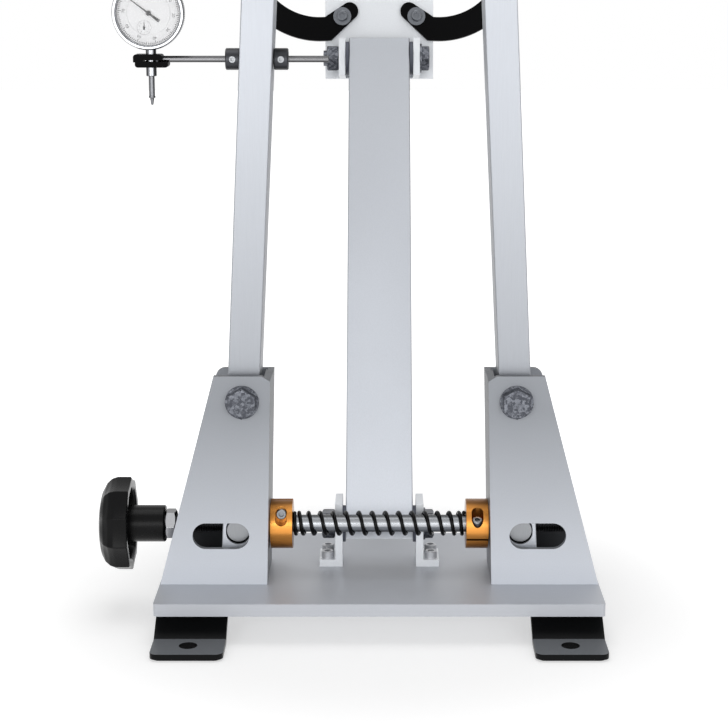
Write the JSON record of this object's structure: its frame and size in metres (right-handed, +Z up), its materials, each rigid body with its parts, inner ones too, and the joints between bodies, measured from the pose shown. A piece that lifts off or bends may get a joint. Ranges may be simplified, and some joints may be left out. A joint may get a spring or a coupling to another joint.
{
  "type": "bicycle wheel truing stand",
  "caption": "Bench stand that holds a bicycle wheel between two leaning uprights moved by one screw, with a caliper on a tilting post and a dial gauge on a rod.",
  "frame": {"origin": "on the bench, at the middle of the base plate and of the four bench holes", "axes": "+X to the right along the lead screw, +Y away from the user towards the tilting post, +Z up"},
  "size_m": [0.3998, 0.4349, 0.6029],
  "materials": {
    "base_plate": "fine matte anodised",
    "towers": "fine matte anodised",
    "uprights": "satin anodised, brushed lengthwise",
    "post": "satin anodised, brushed lengthwise",
    "brackets": "satin anodised",
    "feet": "satin black powder coat",
    "pads": "matte",
    "black_screws": "black oxide",
    "dark_steel": "dark oxide, mottled",
    "bright_steel": "ground",
    "sleeves": "turned",
    "nylon": "matte black",
    "knob": "gloss black",
    "collars": "gold anodised, turned",
    "spring": "black, semi-gloss",
    "arms": "satin black powder coat",
    "dial_case": "satin chrome",
    "dial_face": "white, printed in black",
    "crystal": "clear",
    "pointers": "black"
  },
  "bodies": {
    "base": {"base_plate": "base_plate", "front_feet": "feet", "rear_feet": "feet", "foot_pads": "pads", "foot_screws": "black_screws", "tower_left": "towers", "tower_right": "towers", "tower_screws": "black_screws", "pivot_bolts": "dark_steel", "pivot_nuts": "dark_steel", "pivot_sleeves": "sleeves", "pivot_spacers": "nylon", "screw_bushes": "sleeves", "post_bracket_left": "brackets", "post_bracket_right": "brackets", "post_bracket_screws": "bright_steel", "post_bolt": "dark_steel", "post_nut": "dark_steel", "post_washers": "nylon"},
    "screw": {"lead_screw": "bright_steel", "knob": "knob", "jam_nut": "bright_steel", "collar_left": "collars", "collar_right": "collars", "collar_screws": "bright_steel", "screw_spring": "spring"},
    "nut_left": {"barrel_nut_left": "bright_steel"},
    "nut_right": {"barrel_nut_right": "bright_steel"},
    "swing_left": {"upright_left": "uprights", "upright_plugs_left": "nylon", "dropout_left": "bright_steel", "dropout_screws_left": "black_screws"},
    "swing_right": {"upright_right": "uprights", "upright_plugs_right": "nylon", "dropout_right": "bright_steel", "dropout_screws_right": "black_screws"},
    "mast": {"post": "post", "post_plug": "nylon"},
    "caliper": {"caliper_bracket": "brackets", "caliper_bolt": "dark_steel", "caliper_nut": "dark_steel", "caliper_washers": "nylon", "arm_screws": "dark_steel"},
    "arm_left": {"caliper_arm_left": "arms"},
    "arm_right": {"caliper_arm_right": "arms"},
    "pin_left": {"rim_pin_left": "bright_steel"},
    "pin_right": {"rim_pin_right": "bright_steel"},
    "gauge": {"gauge_rod": "bright_steel", "rod_collars": "dark_steel", "set_screws": "black_screws", "gauge_clamp": "arms", "clamp_screw": "black_screws", "gauge_case": "dial_case", "gauge_face": "dial_face"},
    "bezel": {"gauge_bezel": "dial_case", "gauge_scale": "dial_face", "gauge_crystal": "crystal"},
    "plunger": {"gauge_plunger": "bright_steel"},
    "pointer": {"gauge_pointer": "pointers"},
    "counter": {"counter_pointer": "pointers"}
  },
  "joints": [
    {"name": "screw_turn", "type": "hinge", "parent": "base", "child": "screw", "pos_m": [0, -0.012, 0.074], "axis": [1, 0, 0], "range_deg": [-988, 2242]},
    {"name": "nut_left_slide", "type": "slide", "parent": "base", "child": "nut_left", "axis": [1, 0, 0], "range_m": [-0.01247, 0.0055]},
    {"name": "nut_right_slide", "type": "slide", "parent": "base", "child": "nut_right", "axis": [1, 0, 0], "range_m": [-0.0055, 0.01247]},
    {"name": "upright_left_swing", "type": "hinge", "parent": "base", "child": "swing_left", "pos_m": [-0.107, -0.012, 0.1824], "axis": [0, 1, 0], "range_deg": [-2.88, 6.53]},
    {"name": "upright_right_swing", "type": "hinge", "parent": "base", "child": "swing_right", "pos_m": [0.107, -0.012, 0.1824], "axis": [0, 1, 0], "range_deg": [-6.53, 2.88]},
    {"name": "post_tilt", "type": "hinge", "parent": "base", "child": "mast", "pos_m": [0, 0.015, 0.0653], "axis": [1, 0, 0], "range_deg": [-18, 8]},
    {"name": "caliper_tilt", "type": "hinge", "parent": "mast", "child": "caliper", "pos_m": [0, 0.2616, 0.43091], "axis": [1, 0, 0], "range_deg": [-15, 70]},
    {"name": "arm_left_swing", "type": "hinge", "parent": "caliper", "child": "arm_left", "pos_m": [-0.034, 0.28757, 0.46699], "axis": [0, 0.9877, -0.1564], "range_deg": [-8, 7.5]},
    {"name": "arm_right_swing", "type": "hinge", "parent": "caliper", "child": "arm_right", "pos_m": [0.034, 0.28757, 0.46699], "axis": [0, 0.9877, -0.1564], "range_deg": [-7.5, 8]},
    {"name": "pin_left_travel", "type": "slide", "parent": "arm_left", "child": "pin_left", "axis": [1, 0, 0], "range_m": [-0.012, 0.0075]},
    {"name": "pin_right_travel", "type": "slide", "parent": "arm_right", "child": "pin_right", "axis": [1, 0, 0], "range_m": [-0.0075, 0.012]},
    {"name": "gauge_swing", "type": "hinge", "parent": "swing_left", "child": "gauge", "pos_m": [-0.0935, -0.012, 0.4448], "axis": [1, 0, 0], "range_deg": [-90, 90]},
    {"name": "bezel_turn", "type": "hinge", "parent": "gauge", "child": "bezel", "pos_m": [-0.1745, -0.021, 0.4796], "axis": [0, 1, 0], "continuous": true},
    {"name": "plunger_travel", "type": "slide", "parent": "gauge", "child": "plunger", "axis": [0, 0, 1], "range_m": [0, 0.01], "stiffness_N_per_m": 60, "springref_m": -0.01},
    {"name": "pointer_turn", "type": "hinge", "parent": "gauge", "child": "pointer", "pos_m": [-0.1745, -0.021, 0.4796], "axis": [0, 1, 0], "range_deg": [0, 3601]},
    {"name": "counter_turn", "type": "hinge", "parent": "gauge", "child": "counter", "pos_m": [-0.178, -0.021, 0.4688], "axis": [0, 1, 0], "range_deg": [-361, 0]}
  ],
  "couplings": [
    {"joint": "nut_left_slide", "follows": "screw_turn", "m_per_rad": -0.00031831},
    {"joint": "nut_right_slide", "follows": "screw_turn", "m_per_rad": 0.00031831},
    {"joint": "upright_left_swing", "follows": "screw_turn", "ratio": 0.0029084},
    {"joint": "upright_right_swing", "follows": "screw_turn", "ratio": -0.0029084},
    {"joint": "pointer_turn", "follows": "plunger_travel", "rad_per_m": 6283.2},
    {"joint": "counter_turn", "follows": "plunger_travel", "rad_per_m": -628.32}
  ]
}
